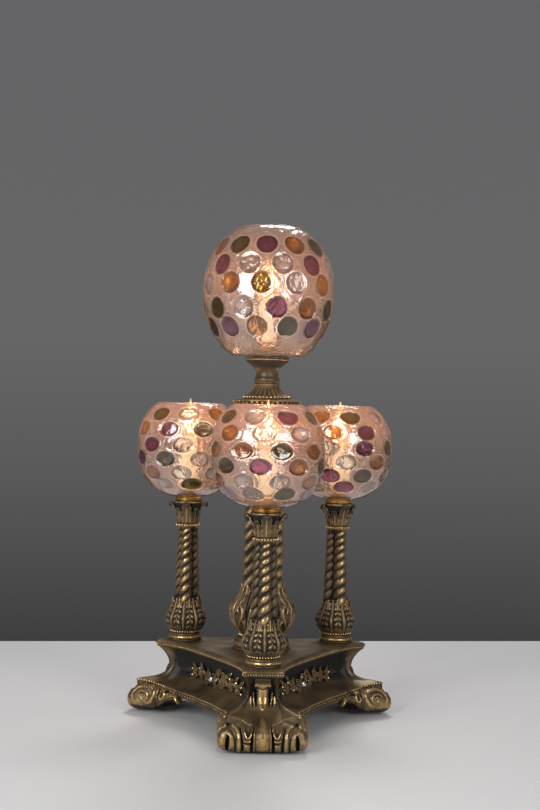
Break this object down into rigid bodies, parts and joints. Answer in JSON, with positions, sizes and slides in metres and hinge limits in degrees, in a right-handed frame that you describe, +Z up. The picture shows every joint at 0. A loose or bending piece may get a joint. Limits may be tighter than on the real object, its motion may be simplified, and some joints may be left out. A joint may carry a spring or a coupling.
{
  "type": "table lamp",
  "caption": "Bronzed table lamp: rope columns on a three-cornered scroll-footed base, each with a candle light in a coin-dot glass globe, and a larger globe on the middle column.",
  "frame": {"origin": "middle of the lamp's footprint, on the surface it stands on", "axes": "+Z up along the columns, -Y towards the front column, +X to the right of the front column"},
  "size_m": [0.3042, 0.276, 0.5592],
  "materials": {
    "aged_bronze": "cast metal with a dark bronze finish, rubbed to gold on the high spots",
    "brass": "turned brass, slightly dulled",
    "bulb_brass": "thin rolled screw base",
    "rod_steel": "zinc-plated threaded rod and nuts",
    "lustre_glass": "thin blown glass with a pearly lustre and stained coin dots",
    "bulb_glass": "clear flame-shaped bulb",
    "candle_card": "cream candle sleeve",
    "phenolic": "dark moulded socket",
    "felt": "felt disc",
    "black_rubber": "soft bushing"
  },
  "bodies": {
    "stand": {"base_casting": "aged_bronze", "cord_bushing": "black_rubber", "foot_pad_front": "felt", "foot_pad_right": "felt", "foot_pad_left": "felt", "centre_rod": "rod_steel", "centre_rod_nut": "rod_steel", "centre_column": "aged_bronze", "centre_capital": "aged_bronze", "pedestal_flange": "aged_bronze", "pedestal_flare": "aged_bronze", "collar_screw": "brass", "pedestal_cup": "aged_bronze", "top_globe": "lustre_glass", "top_globe_nut": "brass", "top_socket": "phenolic", "top_candle_sleeve": "candle_card", "front_rod": "rod_steel", "front_rod_nut": "rod_steel", "front_column": "aged_bronze", "front_capital": "aged_bronze", "front_globe_seat": "brass", "front_globe": "lustre_glass", "front_globe_nut": "brass", "front_socket": "phenolic", "front_candle_sleeve": "candle_card", "left_rod": "rod_steel", "left_rod_nut": "rod_steel", "left_column": "aged_bronze", "left_capital": "aged_bronze", "left_globe_seat": "brass", "left_globe": "lustre_glass", "left_globe_nut": "brass", "left_socket": "phenolic", "left_candle_sleeve": "candle_card", "right_rod": "rod_steel", "right_rod_nut": "rod_steel", "right_column": "aged_bronze", "right_capital": "aged_bronze", "right_globe_seat": "brass", "right_globe": "lustre_glass", "right_globe_nut": "brass", "right_socket": "phenolic", "right_candle_sleeve": "candle_card"},
    "top_bulb": {"top_bulb_base": "bulb_brass", "top_bulb_glass": "bulb_glass"},
    "front_bulb": {"front_bulb_base": "bulb_brass", "front_bulb_glass": "bulb_glass"},
    "left_bulb": {"left_bulb_base": "bulb_brass", "left_bulb_glass": "bulb_glass"},
    "right_bulb": {"right_bulb_base": "bulb_brass", "right_bulb_glass": "bulb_glass"}
  },
  "joints": [
    {"name": "top_bulb_screw", "type": "hinge", "parent": "stand", "child": "top_bulb", "pos_m": [0, 0.02453, 0.4746], "axis": [0, 0, 1], "range_deg": [0, 1080]},
    {"name": "front_bulb_screw", "type": "hinge", "parent": "stand", "child": "front_bulb", "pos_m": [0, -0.07707, 0.3098], "axis": [0, 0, 1], "range_deg": [0, 1080]},
    {"name": "left_bulb_screw", "type": "hinge", "parent": "stand", "child": "left_bulb", "pos_m": [-0.08799, 0.07533, 0.3098], "axis": [0, 0, 1], "range_deg": [0, 1080]},
    {"name": "right_bulb_screw", "type": "hinge", "parent": "stand", "child": "right_bulb", "pos_m": [0.08799, 0.07533, 0.3098], "axis": [0, 0, 1], "range_deg": [0, 1080]}
  ]
}
